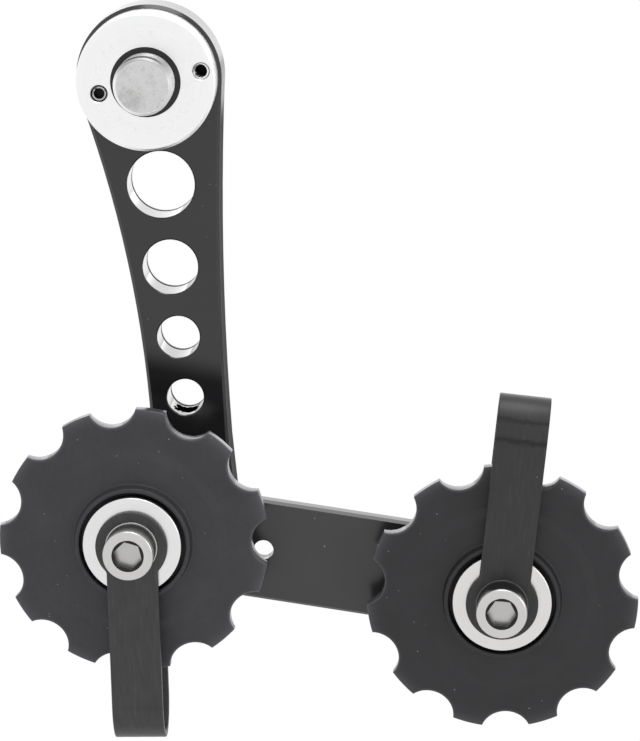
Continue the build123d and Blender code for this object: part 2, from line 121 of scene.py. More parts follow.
# %% Wires and boards
class Wire:
    """One output socket. Sums with it add Math nodes to its board."""

    def __init__(self, board, socket):
        self.board = board
        self.socket = socket

    def sibling(self, name):
        """Another output of the same node."""
        return Wire(self.board, self.socket.node.outputs[name])

    def __add__(self, other):
        return self.board.maths("ADD", self, other)

    def __sub__(self, other):
        return self.board.maths("SUBTRACT", self, other)

    def __rsub__(self, other):
        return self.board.maths("SUBTRACT", other, self)

    def __mul__(self, other):
        return self.board.maths("MULTIPLY", self, other)

    def __truediv__(self, other):
        return self.board.maths("DIVIDE", self, other)

    def __rtruediv__(self, other):
        return self.board.maths("DIVIDE", other, self)

    def __gt__(self, other):
        return self.board.maths("GREATER_THAN", self, other)

    def __lt__(self, other):
        return self.board.maths("LESS_THAN", self, other)

    __radd__ = __add__
    __rmul__ = __mul__


class Board:
    """A node tree and the few ways in which this script adds to it."""

    def __init__(self, tree):
        self.tree = tree

    def add(self, kind, settings=None, sockets=None, out=0):
        """Adds a node and gives one of its outputs."""
        node = self.tree.nodes.new(kind)
        for name, value in (settings or {}).items():
            setattr(node, name, value)
        for key, value in (sockets or {}).items():
            if isinstance(value, Wire):
                self.tree.links.new(value.socket, node.inputs[key])
            else:
                node.inputs[key].default_value = value
        return Wire(self, node.outputs[out]) if node.outputs else node

    def maths(self, operation, *operands):
        return self.add("ShaderNodeMath", {"operation": operation}, dict(enumerate(operands)))

    def hypot(self, a, b):
        return self.maths("SQRT", a * a + b * b)

    def ramp(self, value, start, end):
        """Rises smoothly from 0 at start to 1 at end."""
        ends = {"Value": value, "From Min": start, "From Max": end}
        return self.add("ShaderNodeMapRange", {"interpolation_type": "SMOOTHSTEP"}, ends)

    def blend(self, factor, first, second):
        """Colour that goes from first to second."""
        return self.add("ShaderNodeMix", {"data_type": "RGBA"}, {0: factor, 6: first, 7: second}, 2)

    def tones(self, factor, low, high, warmth=0.0):
        """Nearly neutral colour that goes from one level to another."""
        return self.blend(factor, grey(low, warmth), grey(high, warmth))

    def point(self, x, y, z):
        return self.add("ShaderNodeCombineXYZ", None, {"X": x, "Y": y, "Z": z})


def between(value, low, high):
    """1 between two limits, and 0 outside them."""
    return (value > low) * (value < high)


def grey(level, warmth=0.0):
    """A nearly neutral colour: warmth above 0 yellows it, below 0 adds blue."""
    return (level, level * (1 - 0.5 * max(warmth, 0.0)), level * (1 - warmth), 1.0)


print("boards ready")

# %% [markdown]
# Every finish reads Object coordinates, scaled to millimetres, so grain has its real size and stays on the
# piece when a joint moves. They share soft clouding, which also serves as the fine grain that breaks up
# gloss, borders with frayed ends, and the specks of pale dust that any black part collects on a bench. The
# specks are the middles of Voronoi cells, with a share of the cells switched off.

# %% Shared patterns
DUST_COLOUR = grey(0.22)
DUST_SPACING = 2.0
DUST_SIZE = 0.08
DUSTY = 0.9
WIPED = 0.3
PAINTED_DARK_SURFACE = {"Base Color": grey(0.003), "Roughness": 1.0, "Specular IOR Level": 0.0}


class Finish(Board):
    """A material's board, with its surface place in millimetres."""

    def __init__(self, name):
        self.material = bpy.data.materials.new(name)
        self.material.use_nodes = True
        self.material.node_tree.nodes.clear()
        super().__init__(self.material.node_tree)
        place = self.add("ShaderNodeTexCoord", None, None, "Object")
        self.mm = self.add("ShaderNodeVectorMath", {"operation": "SCALE"}, {0: place, "Scale": 1 / MM})
        self.x = self.add("ShaderNodeSeparateXYZ", None, {0: self.mm})
        self.y = self.x.sibling("Y")
        self.z = self.x.sibling("Z")

    def clouds(self, per_mm, detail=3.0, vector=None):
        sockets = {"Vector": vector or self.mm, "Scale": per_mm, "Detail": detail}
        return self.add("ShaderNodeTexNoise", None, sockets)

    def radius(self, axis):
        """Distance from an axis along Y."""
        return self.hypot(self.x - axis[0], self.z - axis[1])

    def ragged(self, value, low, high, fray):
        """1 between two limits, with frayed ends."""
        return between(value + fray * (self.clouds(1.3, 5.0) - 0.5), low, high)

    def dust(self, share):
        """1 on specks of different sizes, in that share of the cells."""
        cell = {"Vector": self.mm, "Scale": 1 / DUST_SPACING, "Randomness": 1.0}
        near = self.add("ShaderNodeTexVoronoi", None, cell, "Distance")
        chosen = self.add("ShaderNodeSeparateColor", None, {0: near.sibling("Color")})
        speck = DUST_SIZE * (0.4 + 1.2 * chosen.sibling("Green"))
        return (chosen < share) * (near * DUST_SPACING < speck)

    def bump(self, height, depth_mm):
        """Surface relief: height from 0 to 1 stands for depth_mm."""
        return self.add("ShaderNodeBump", None, {"Distance": depth_mm * MM, "Height": height})

    def coat(self, painted_dark=None, **sockets):
        """Surface with the named values, and a painted dark reflection over it where painted_dark is 1."""
        named = {name.replace("_", " "): value for name, value in sockets.items()}
        shader = self.add("ShaderNodeBsdfPrincipled", None, named)
        if painted_dark is not None:
            black = self.add("ShaderNodeBsdfPrincipled", None, PAINTED_DARK_SURFACE)
            shader = self.add("ShaderNodeMixShader", None, {0: painted_dark, 1: shader, 2: black})
        self.add("ShaderNodeOutputMaterial", None, {"Surface": shader})
        return self.material


print("patterns ready")

# %% [markdown]
# The arm and the cage plate are black anodised aluminium: a thin hard dye layer over metal, satin and
# faintly cloudy. The round holes were bored later, so their walls are bare bright metal. One material does
# both: where a point lies within a hole's own radius, the metal shows. Each wall has painted shade on its
# lower part, and a painted dark line at its far mouth, where the last of the wall is left black. The arm
# also has narrow edges that milling left duller, a slanting band of painted shade near its foot for the
# guide pulley's shadow and reflection, and a painted dark reflection on the lower wall of its lowest hole.

# %% Black anodised aluminium
LIGHTENING_HOLES = ((17.2, 10.75), (30.6, 8.83), (42.1, 6.83), (52.05, 5.9))
PLATE_HOLE = (20.5, 3.2)
WALL_SLACK = 0.05
DARK_MOUTH_LINE = 1.5
DYE_TINT = -0.08
BARE_TONES = (0.62, 0.88)
PAINTED_SHADE_TONES = (0.04, 0.22)
BARE_ROUGH = 0.10
REFLECTION_DEPTH = (1.5, 5.1)
REFLECTION_WIDTH = (-1.9, 1.8)
REFLECTION_FRAY = 2.2
HEAD_REACH = (11.7, 14.0)
EDGE_INSET = 0.6
EDGE_ROUGH = 0.95
# Painted shade: a band on the arm's face for the guide pulley's shadow and reflection.
SHADE_BAND_START = (44.0, 49.0)
SHADE_BAND_END = (20.5, 24.5)
SHADE_BAND_SLANT = 0.3
FACE_DEPTH = 0.05


def along(start, end, distance):
    """Place that far from one axis towards another."""
    step = (Vector(end) - Vector(start)).normalized()
    return Vector(start) + distance * step


def hole_dark_reflection(finish, hole, front):
    """Painted dark reflection on the lower wall of one hole."""
    deep = finish.ragged(finish.y - front, *REFLECTION_DEPTH, REFLECTION_FRAY)
    wide = finish.ragged(finish.x - hole[0], *REFLECTION_WIDTH, REFLECTION_FRAY)
    near = finish.radius(hole) < LIGHTENING_HOLES[-1][1]
    return deep * wide * near * (finish.z < hole[1])


def milled_edge(finish, front, back):
    """1 on the narrow edges, away from the round head."""
    inner = between(finish.y, front + EDGE_INSET, back - EDGE_INSET)
    return inner * finish.ramp(finish.radius(HANGER), *HEAD_REACH)


def pulley_shade_band(finish, start, end, front):
    """1 in a slanting band of painted shade on the front face, for the pulley's shadow and reflection."""
    step = (Vector(end) - Vector(start)).normalized()
    down = (finish.x - start[0]) * step.x + (finish.z - start[1]) * step.y
    across = (finish.z - start[1]) * step.x - (finish.x - start[0]) * step.y
    band = finish.ramp(down - SHADE_BAND_SLANT * across, *SHADE_BAND_START)
    band = band * finish.ramp(finish.radius(PULLEYS["guide"]), *SHADE_BAND_END)
    return band * (finish.y < front + FACE_DEPTH)


def anodised_black(name, node, start, end, holes, level, is_arm):
    """Black finish of a node whose holes lie on the line between two axes."""
    finish = Finish(name)
    front, back = (corner.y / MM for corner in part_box(node))
    cloud = finish.clouds(0.12)
    grain = finish.clouds(9.0, 2.0)
    colour = finish.tones(cloud, 0.8 * level, 1.3 * level, DYE_TINT)
    colour = finish.blend(finish.dust(DUSTY if is_arm else WIPED), colour, DUST_COLOUR)
    rough = 0.16 + 0.06 * grain + 0.06 * cloud
    bare = 0.0
    low = 0.0
    for distance, diameter in holes:
        hole = along(start, end, distance)
        inside = finish.radius(hole) < diameter / 2 + WALL_SLACK
        bare = finish.maths("MAXIMUM", inside, bare)
        low = finish.maths("MAXIMUM", inside * (hole[1] - finish.z) / (diameter / 2), low)
    # Painted dark line: the back of each bare wall stays black.
    bare = bare * (finish.y < back - DARK_MOUTH_LINE)
    metallic = bare
    dark_reflection = None
    if is_arm:
        rough = rough + milled_edge(finish, front, back) * (EDGE_ROUGH - rough)
        # Painted shade: in the band the black colour turns metallic, which darkens the face.
        metallic = finish.maths("MAXIMUM", bare, pulley_shade_band(finish, start, end, front))
        # Painted reflection: dull black on the lower wall of the lowest hole.
        dark_reflection = hole_dark_reflection(finish, along(start, end, holes[-1][0]), front)
    tool_marks = finish.clouds(1.0, 4.0, finish.point(0.0, 7.0 * finish.y, 0.0))
    metal = finish.tones(tool_marks, *BARE_TONES)
    # Painted shade: the lower part of each bare wall is darker.
    metal = finish.blend(finish.ramp(low, 0.2, 0.8), metal, finish.tones(tool_marks, *PAINTED_SHADE_TONES))
    colour = finish.blend(bare, colour, metal)
    rough = rough + bare * (BARE_ROUGH - rough)
    relief = finish.bump(grain, 0.004)
    return finish.coat(dark_reflection, Base_Color=colour, Metallic=metallic, Roughness=rough, Normal=relief, IOR=1.55)


arm_black = anodised_black("anodised_arm", "tension_arm", HANGER, PIVOT, LIGHTENING_HOLES, 0.012, True)
plate_black = anodised_black("anodised_plate", "cage_plate", *PULLEYS.values(), [PLATE_HOLE], 0.023, False)
print("finish:", arm_black.name, "and", plate_black.name)

# %% [markdown]
# The pulleys are moulded in black resin, duller than the anodising and slightly uneven. Towards its outline
# the rim carries a painted sheen, and the rounded edge of each tooth a patchy painted highlight. The guide
# wheel is a little lighter, as painted light from the left. The wheel's geometry tree stores both as
# attributes named rim and edge, so these tones follow the teeth exactly.

# %% Moulded resin
# Painted light: the guide wheel's level is higher, for light from the left.
RESIN_LIT_LEVEL = {"guide": 0.028, "tension": 0.014}
RESIN_TINT = -0.15
RIM_SHEEN_LIFT = 0.032
RIM_SHEEN_FALL = 4.0


def moulded_resin(pulley):
    finish = Finish(pulley + "_resin")
    level = RESIN_LIT_LEVEL[pulley]
    cloud = finish.clouds(0.18)
    grain = finish.clouds(6.0, 3.0)
    edge = finish.add("ShaderNodeAttribute", {"attribute_name": "edge"}, None, "Fac")
    rim = finish.add("ShaderNodeAttribute", {"attribute_name": "rim"}, None, "Fac")
    wear_and_highlight = edge * finish.ramp(finish.clouds(0.7), 0.35, 0.65)
    tone = 0.6 * cloud + 0.4 * finish.clouds(1.4, 4.0)
    colour = finish.tones(tone, 0.5 * level, 1.5 * level, RESIN_TINT)
    # Painted sheen: the rim turns paler towards its outline.
    rim_sheen = finish.maths("POWER", rim, RIM_SHEEN_FALL)
    colour = finish.blend(rim_sheen, colour, grey(level + RIM_SHEEN_LIFT, RESIN_TINT))
    # Painted highlight: a patchy paler tone on the rounded tooth edges.
    colour = finish.blend(0.25 * wear_and_highlight, colour, grey(0.16, -0.06))
    colour = finish.blend(finish.dust(DUSTY), colour, DUST_COLOUR)
    rough = 0.42 + 0.12 * grain - 0.28 * edge
    relief = finish.bump(grain, 0.006)
    return finish.coat(Base_Color=colour, Roughness=rough, Normal=relief, IOR=1.46)


resin = {pulley: moulded_resin(pulley) for pulley in PULLEYS}
print("finish:", [finish.name for finish in resin.values()])

# %% [markdown]
# The chain clips are strips of steel, painted black and then folded. Folding stretches the paint, so on the
# tension clip two darker ragged bands cross the strip at the bend, and the straps carry fine scuffs. A clip
# has its own direction, so the pattern is measured along and across it from the pulley's axis.

# %% Painted clips
CLIPS = {"guide": (-88.5, 0.026, 0.1), "tension": (84.2, 0.014, 0.9)}
BEND_LINES = (27.4, 30.6)
BEND_WIDTH = 0.8


def clip_paint(pulley):
    finish = Finish(pulley + "_clip_paint")
    angle, level, cracked = CLIPS[pulley]
    lean = math.radians(angle)
    out_x = finish.x - PULLEYS[pulley][0]
    out_z = finish.z - PULLEYS[pulley][1]
    lengthwise = out_x * math.cos(lean) + out_z * math.sin(lean)
    across = out_z * math.cos(lean) - out_x * math.sin(lean)
    wobble = 1.2 * finish.clouds(0.5) + 0.8 * finish.clouds(2.2, 4.0) - 0.4
    bands = 0.0
    for reach in BEND_LINES:
        off_line = finish.maths("ABSOLUTE", lengthwise + wobble - reach)
        bands = finish.maths("MAXIMUM", 1 - finish.ramp(off_line, 0.0, BEND_WIDTH), bands)
    bands = cracked * bands
    streak = finish.clouds(1.0, 4.0, finish.point(0.35 * lengthwise, 2.4 * across, finish.y))
    scuff = finish.ramp(streak, 0.60, 0.75)
    grain = finish.clouds(8.0, 2.0)
    tone = 0.4 * finish.clouds(0.2) + 0.6 * streak
    colour = finish.tones(tone, 0.2 * level, 1.8 * level)
    colour = finish.blend(0.12 * scuff, colour, grey(0.12))
    colour = finish.blend(bands, colour, grey(0.002))
    colour = finish.blend(finish.dust(WIPED), colour, DUST_COLOUR)
    rough = 0.36 + 0.10 * grain + 0.15 * scuff + 0.3 * bands
    relief = finish.bump(grain + 2.0 * bands, 0.004)
    return finish.coat(Base_Color=colour, Roughness=rough, Normal=relief)


clip_black = {pulley: clip_paint(pulley) for pulley in PULLEYS}
print("finish:", [finish.name for finish in clip_black.values()])

# %% [markdown]
# Turned metal carries the tool's path: rings round its axis, so fine that they show as a faint change of
# sheen. Noise read along the distance from the axis gives such rings. A worn ring can lie where a frame has
# touched. Bores see little light, and they take darker tones of painted shade; the sides of bolt heads
# take a painted dark reflection.

# %% Bright turned metal
WORN_REACH = 1.6
SKIRT_FADE = 0.8


def turned_metal(name, axis, level, warmth=0.0, rough=0.25, rings=3.0, worn_ring=None, bores=(), skirt=None):
    """Bores are (axis, radius, start, shade). A skirt is (radius, start, end, shade)."""
    finish = Finish(name)
    out = finish.radius(axis)
    ring = finish.clouds(1.0, 3.0, finish.point(rings * out, 0.3 * finish.y, 0.0))
    cloud = finish.clouds(0.35)
    grain = finish.clouds(5.0, 3.0)
    colour = finish.tones(0.6 * ring + 0.4 * cloud, 0.90 * level, 1.06 * level, warmth)
    rough = rough + 0.10 * ring + 0.05 * grain
    if worn_ring:
        near = 1 - finish.ramp(finish.maths("ABSOLUTE", out - worn_ring), 0.0, WORN_REACH)
        marks = near * finish.ramp(finish.clouds(1.6, 5.0), 0.52, 0.66)
        colour = finish.blend(0.12 * marks, colour, grey(0.45))
        rough = rough + 0.15 * marks
    for place, radius, start, shade in bores:
        inside = (finish.radius(place) < radius) * (finish.y > start)
        colour = finish.blend(inside, colour, grey(shade, warmth))
    if skirt:
        radius, start, end, shade = skirt
        side = (out > radius) * finish.ramp(finish.y, start, start + SKIRT_FADE) * (finish.y < end)
        colour = finish.blend(side, colour, grey(shade, warmth))
    relief = finish.bump(ring + 0.5 * grain, 0.003)
    return finish.coat(Base_Color=colour, Metallic=1.0, Roughness=rough, Normal=relief)


print("turned metal ready")

# %% [markdown]
# The base disc is bare aluminium, and its screw holes carry painted shade just behind their mouths. The
# pulley caps are plated and a shade greyer, and bolts are warmer. A pulley bolt's key socket has painted
# shade, black on its walls and paler on its floor, and the side of its head a painted dark reflection of
# the clip, which on the tension bolt covers the bead under the head too.

# %% Disc, caps, bolts and axle
SCREW_HOLES = ((-7.36, -1.92), (8.73, 1.79))
SCREW_HOLE_RADIUS = 1.33
SCREW_HOLE_MOUTH = 0.12
SHADE_SLACK = 0.02
SOCKET_MOUTH = 2.61
SOCKET_DEPTH = 1.5
BEAD = 0.13
BOLT_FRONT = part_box("guide_bolt")[0].y / MM
CLIP_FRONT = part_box("guide_clip")[0].y / MM
HEAD_SIDE = 3.95
HEAD_LIP = 0.3
# Painted dark reflection of the clip on each bolt head's side, over the tension bolt's bead as well.
HEAD_SHADE = {"guide": (CLIP_FRONT - BEAD - SHADE_SLACK, 0.26), "tension": (CLIP_FRONT + SHADE_SLACK, 0.14)}


def bolt_zinc(pulley, axis):
    # Painted shade: black socket walls and a paler socket floor.
    walls = (axis, SOCKET_MOUTH + SHADE_SLACK / 2, BOLT_FRONT + SHADE_SLACK, 0.03)
    bottom = (axis, SOCKET_MOUTH, BOLT_FRONT + SOCKET_DEPTH - 0.03, 0.50)
    side = (HEAD_SIDE, BOLT_FRONT + HEAD_LIP, *HEAD_SHADE[pulley])
    name = pulley + "_bolt_zinc"
    return turned_metal(name, axis, 0.63, 0.022, 0.24, rings=4.0, bores=(walls, bottom), skirt=side)


# Painted shade: the screw holes turn black just behind their mouths.
dark_holes = [(hole, SCREW_HOLE_RADIUS, SCREW_HOLE_MOUTH, 0.008) for hole in SCREW_HOLES]
disc_metal = turned_metal("turned_aluminium", HANGER, 0.945, -0.008, 0.24, 2.2, 7.6, dark_holes)
cap_metal = {
    "guide": turned_metal("guide_cap_plate", PULLEYS["guide"], 0.80, 0.0, 0.22),
    "tension": turned_metal("tension_cap_plate", PULLEYS["tension"], 0.74, 0.03, 0.22),
}
bolt_metal = {pulley: bolt_zinc(pulley, axis) for pulley, axis in PULLEYS.items()}
axle_metal = turned_metal("axle_zinc", PIVOT, 0.60, 0.015, 0.26)
print("finish:", disc_metal.name, "with caps, bolts and axle")

# %% [markdown]
# The stud's end face was cropped and tumbled, so it is mottled instead of ringed, with a darker smudge low
# on one side. The chamfer round it carries painted light and shade: bright below and at the left, less
# so at the right and darkest on top, where a painted shadow line lies in the thread's first groove.

# %% Stud metal
STUD_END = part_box("hanger_bolt")[0].y / MM
THREAD_RADIUS = 4.675
THREAD_CHAMFER = 0.5
FACE_TRIM = 0.05
END_SKIN = (0.05, 0.35)
SMUDGE = (-2.0, -2.2)
BEVEL_SHADE_RIGHT = (1.0, 4.0)
BEVEL_SHADE_TOP = (0.5, 3.6)
GROOVE_SHADOW_TOP = (2.8, 4.4)
GROOVE_SHADOW_SPAN = (0.36, 1.3)


def stud_metal():
    finish = Finish("stud_zinc")
    behind = finish.y - STUD_END
    at_end = 1 - finish.ramp(behind, *END_SKIN)
    mottle = finish.clouds(1.1, 6.0)
    brushed = finish.point(0.5 * (finish.x + finish.z), 0.0, 4.0 * (finish.x - finish.z))
    speckle = 0.5 * finish.clouds(4.5, 4.0) + 0.5 * finish.clouds(1.0, 4.0, brushed)
    smudge = 1 - finish.ramp(finish.radius(SMUDGE), 0.4, 3.0)
    dark = at_end * finish.ramp(0.35 * mottle + 0.65 * speckle + 0.17 * smudge, 0.44, 0.72)
    colour = finish.tones(finish.clouds(0.8), 0.60, 0.72, 0.004)
    colour = finish.blend(0.36 * dark, colour, grey(0.26, 0.01))
    # Painted light and shade on the chamfer, and a painted shadow line in the first groove on top.
    groove = finish.ramp(finish.z, *GROOVE_SHADOW_TOP) * between(behind, *GROOVE_SHADOW_SPAN)
    edge = finish.tones(finish.ramp(finish.x, *BEVEL_SHADE_RIGHT), 0.94, 0.72)
    edge = finish.blend(finish.ramp(finish.z, *BEVEL_SHADE_TOP), edge, grey(0.43))
    edge = finish.blend(groove, edge, grey(0.10))
    bevel = finish.radius(HANGER) > THREAD_RADIUS - THREAD_CHAMFER - FACE_TRIM
    colour = finish.blend(bevel, colour, edge)
    rough = 0.24 + 0.14 * speckle + 0.2 * dark + 0.2 * bevel
    relief = finish.bump(at_end * (mottle + speckle), 0.02)
    return finish.coat(Base_Color=colour, Metallic=1.0, Roughness=rough, Normal=relief)


stud = stud_metal()
print("finish:", stud.name)

# %% [markdown]
# What sits inside still shows through gaps and from behind: oiled spring wire, ground bearing steel and dark
# bearing plastic. They share one recipe, with a colour that shifts between two tones.


# %% Inner pieces
def plain_stock(name, dark, light, metallic, rough, per_mm):
    finish = Finish(name)
    grain = finish.clouds(7.0, 2.0)
    colour = finish.tones(finish.clouds(per_mm, 4.0), dark, light)
    relief = finish.bump(grain, 0.004)
    return finish.coat(Base_Color=colour, Metallic=metallic, Roughness=rough + 0.12 * grain, Normal=relief)


spring_wire = plain_stock("oiled_spring_wire", 0.22, 0.40, 1.0, 0.28, 0.6)
bearing_steel = plain_stock("ground_bearing_steel", 0.58, 0.70, 1.0, 0.14, 1.2)
sleeve_black = plain_stock("bearing_plastic", 0.008, 0.016, 0.0, 0.45, 0.8)
print("finish:", spring_wire.name, bearing_steel.name, sleeve_black.name)

# %% [markdown]
# The grub screw in the disc is black oxide steel. Keys have rubbed the edge of its socket bright, so the
# metal comes through the black as a broken ring between two radii.

# %% Grub screw
RUBBED_RING = (0.86, 1.10)


def grub_screw_black(axis):
    finish = Finish("grub_screw_black")
    patchy = finish.ramp(finish.clouds(1.1, 3.0), 0.36, 0.46)
    wear_and_highlight = between(finish.radius(axis), *RUBBED_RING) * patchy
    colour = finish.tones(finish.clouds(1.5), 0.006, 0.014)
    colour = finish.blend(wear_and_highlight, colour, grey(0.46))
    rough = 0.40 - 0.12 * wear_and_highlight
    return finish.coat(Base_Color=colour, Metallic=wear_and_highlight, Roughness=rough, IOR=1.25)


screw_black = grub_screw_black(SCREW_HOLES[0])
print("finish:", screw_black.name)

# %% [markdown]
# A turned or moulded round piece is one section spun about an axis. The section is drawn here as corners,
# each with its own rounding, because real edges are never quite sharp and the roundings catch the light. A
# geometry tree then spins it. The tree reads the section's points one by one with Sample Index, so the mesh
# under the modifier is just that drawn line.

# %% Section with rounded corners
ARC_STEPS = 4


def rounded_section(corners, closed=True):
    """Line of (radius, offset) points from (radius, offset, rounding) corners."""
    points = []
    for index, (radius, offset, rounding) in enumerate(corners):
        here = Vector((radius, offset))
        before = Vector(corners[index - 1][:2]) - here
        after = Vector(corners[(index + 1) % len(corners)][:2]) - here
        if rounding == 0:
            points.append(here)
            continue
        reach = rounding / math.tan(before.angle(after) / 2)
        start = here + before.normalized() * reach
        end = here + after.normalized() * reach
        for step in range(ARC_STEPS + 1):
            share = step / ARC_STEPS
            points.append(start.lerp(here, share).lerp(here.lerp(end, share), share))
    if closed:
        points.append(points[0].copy())
    return points


def section_mesh(name, points):
    mesh = bpy.data.meshes.new(name)
    corners = [(MM * point.x, MM * point.y, 0.0) for point in points]
    mesh.from_pydata(corners, [(index, index + 1) for index in range(len(corners) - 1)], [])
    return mesh


print("a rounded corner has", ARC_STEPS + 1, "points")

# %% [markdown]
# A tree starts from a flat grid: one way is the turn round the axis, the other way the section's points.
# Each grid point looks up its section point and is put in its place. Seams are welded, edges sharper than a
# set angle stay crisp, and the material goes on last. Helpers hold this start and this end, so that wheel,
# bolt and ring only add their own rule between them.

# %% Spinning a section
WELD = 1e-7
CRISP_ANGLE = math.radians(38)


def new_tree(name, sizes):
    """Geometry tree that takes a drawn section, named sizes and a finish."""
    tree = bpy.data.node_groups.new(name, "GeometryNodeTree")
    tree.interface.new_socket("Geometry", in_out="OUTPUT", socket_type="NodeSocketGeometry")
    kinds = {"Section": "Geometry", **dict.fromkeys(sizes, "Float"), "Finish": "Material"}
    for label, kind in kinds.items():
        tree.interface.new_socket(label, in_out="INPUT", socket_type="NodeSocket" + kind)
    board = Board(tree)
    return board, board.add("NodeGroupInput")


def spun_grid(board, inputs):
    """Grid, its turn from 0 to 1, and the section's radius and offset at each of its points."""
    section = inputs.sibling("Section")
    rows = board.add("GeometryNodeAttributeDomainSize", None, {0: section}, "Point Count")
    size = {"Size X": 1.0, "Size Y": 1.0, "Vertices X": inputs.sibling("Steps") + 1, "Vertices Y": rows}
    grid = board.add("GeometryNodeMeshGrid", None, size, "Mesh")
    flat = board.add("ShaderNodeSeparateXYZ", None, {0: board.add("GeometryNodeInputPosition")})
    turn = flat + 0.5
    row = (flat.sibling("Y") + 0.5) * (rows - 1) + 0.5
    drawn = {"Geometry": section, "Value": board.add("GeometryNodeInputPosition"), "Index": row}
    point = board.add("GeometryNodeSampleIndex", {"data_type": "FLOAT_VECTOR"}, drawn)
    radius = board.add("ShaderNodeSeparateXYZ", None, {0: point})
    return grid, turn, radius, radius.sibling("Y")


def spun_mesh(board, grid, radius, turn, offset):
    """Puts the grid's points in place round the axis, welds the seams and faces it outwards."""
    across = radius * board.maths("COSINE", math.tau * turn)
    up = radius * board.maths("SINE", math.tau * turn)
    moved = {"Geometry": grid, "Position": board.point(across, offset, up)}
    mesh = board.add("GeometryNodeSetPosition", None, moved)
    mesh = board.add("GeometryNodeMergeByDistance", None, {"Geometry": mesh, "Distance": WELD})
    return board.add("GeometryNodeFlipFaces", None, {"Mesh": mesh})


def close_tree(board, inputs, mesh):
    """Smooths all but the crisp edges and puts the finish on."""
    angle = board.add("GeometryNodeInputMeshEdgeAngle")
    mesh = board.add("GeometryNodeSetShadeSmooth", None, {"Geometry": mesh, "Shade Smooth": True})
    soft = {"Geometry": mesh, "Shade Smooth": angle < CRISP_ANGLE}
    mesh = board.add("GeometryNodeSetShadeSmooth", {"domain": "EDGE"}, soft)
    mesh = board.add("GeometryNodeRealizeInstances", None, {"Geometry": mesh})
    dressed = {"Geometry": mesh, "Material": inputs.sibling("Finish")}
    mesh = board.add("GeometryNodeSetMaterial", None, dressed)
    board.add("NodeGroupOutput", None, {"Geometry": mesh})


def new_object(name, data):
    thing = bpy.data.objects.new(name, data)
    scene.collection.objects.link(thing)
    return thing


def grow(name, tree, mesh, sizes):
    """Runs a tree on a drawn section and keeps the result as a plain mesh."""
    piece = new_object(name, mesh)
    modifier = piece.modifiers.new(tree.name, "NODES")
    modifier.node_group = tree
    for socket in tree.interface.items_tree:
        if socket.name in sizes:
            modifier[socket.identifier] = sizes[socket.name]
    evaluated = piece.evaluated_get(bpy.context.evaluated_depsgraph_get())
    plain = bpy.data.meshes.new_from_object(evaluated)
    plain.materials.pop(index=0)
    piece.modifiers.clear()
    piece.data = plain
    print(name, "has", len(plain.polygons), "faces")
    return piece


# %% [markdown]
# The toothed wheel's rule: a valley is an arc about a point outside the rim, and a tooth's tip is an arc
# about the wheel's own axis. Rounding the rim means drawing the same outline a little smaller at each step,
# and that too is exact: the valley's arc grows and the tip's arc shrinks by the same inset. A boolean and a
# bevel would leave uneven edges. Half of each pitch's steps go to the valley and half to the tip.

# %% Tree for the toothed wheel
WHEEL_SIZES = ("Steps", "Teeth", "Tip", "Root", "Valley", "Taper", "Rim", "Edge", "First valley")
TIP_SHARE = 0.5 - 1e-4


def wheel_tree():
    board, inputs = new_tree("toothed_wheel", WHEEL_SIZES)
    tip = inputs.sibling("Tip")
    root = inputs.sibling("Root")
    valley = inputs.sibling("Valley")
    grid, turn, radius, offset = spun_grid(board, inputs)
    step = turn * inputs.sibling("Teeth")
    share = board.maths("FRACT", step)
    pitch = math.tau / inputs.sibling("Teeth")
    middle = inputs.sibling("First valley") + board.maths("FLOOR", step) * pitch
    inset = tip - radius
    arc = valley + inset
    centre = root + valley
    mouth = board.maths("ARCCOSINE", (radius * radius + centre * centre - arc * arc) / (2 * radius * centre))
    reach = board.maths("ARCCOSINE", (centre * centre + arc * arc - radius * radius) / (2 * centre * arc))
    swing = (4 * share - 1) * reach
    deep = centre - arc * board.maths("COSINE", swing)
    side = arc * board.maths("SINE", swing)
    valley_radius = board.hypot(deep, side)
    valley_angle = middle + board.maths("ARCTAN2", side, deep)
    tip_angle = middle + mouth + (2 * share - 1) * (pitch - 2 * mouth)
    on_tip = share > TIP_SHARE
    rim_radius = valley_radius + on_tip * (radius - valley_radius)
    rim_angle = valley_angle + on_tip * (tip_angle - valley_angle)
    plain_angle = middle + (share - 0.25) * pitch
    on_rim = radius > inputs.sibling("Rim")
    final_radius = radius + on_rim * (rim_radius - radius)
    final_angle = plain_angle + on_rim * (rim_angle - plain_angle)
    thicker = board.add("ShaderNodeClamp", None, {0: (tip - final_radius) / (tip - root)})
    lift = board.maths("SIGN", offset) * inputs.sibling("Taper") * thicker
    final_offset = offset + on_rim * lift
    near_edge = on_rim * (1 - board.ramp(inset, 0.0, inputs.sibling("Edge")))
    for name, value in (("edge", near_edge), ("rim", on_rim)):
        label = {"Geometry": grid, "Name": name, "Value": value}
        grid = board.add("GeometryNodeStoreNamedAttribute", {"data_type": "FLOAT"}, label)
    close_tree(board, inputs, spun_mesh(board, grid, final_radius, final_angle / math.tau, final_offset))
    return board.tree


toothed_wheel = wheel_tree()
print("tree:", toothed_wheel.name, "with", len(toothed_wheel.nodes), "nodes")

# %% [markdown]
# The wheel's section, from the bearing seat outwards: a deep slot round the edge of the cap, a soft raised
# lip, then a web that steps down gently to the thinner toothed rim. Both sides are alike, so the list is
# written once, as radius, half width and rounding, and mirrored. Each wheel rides on its own spinning body.

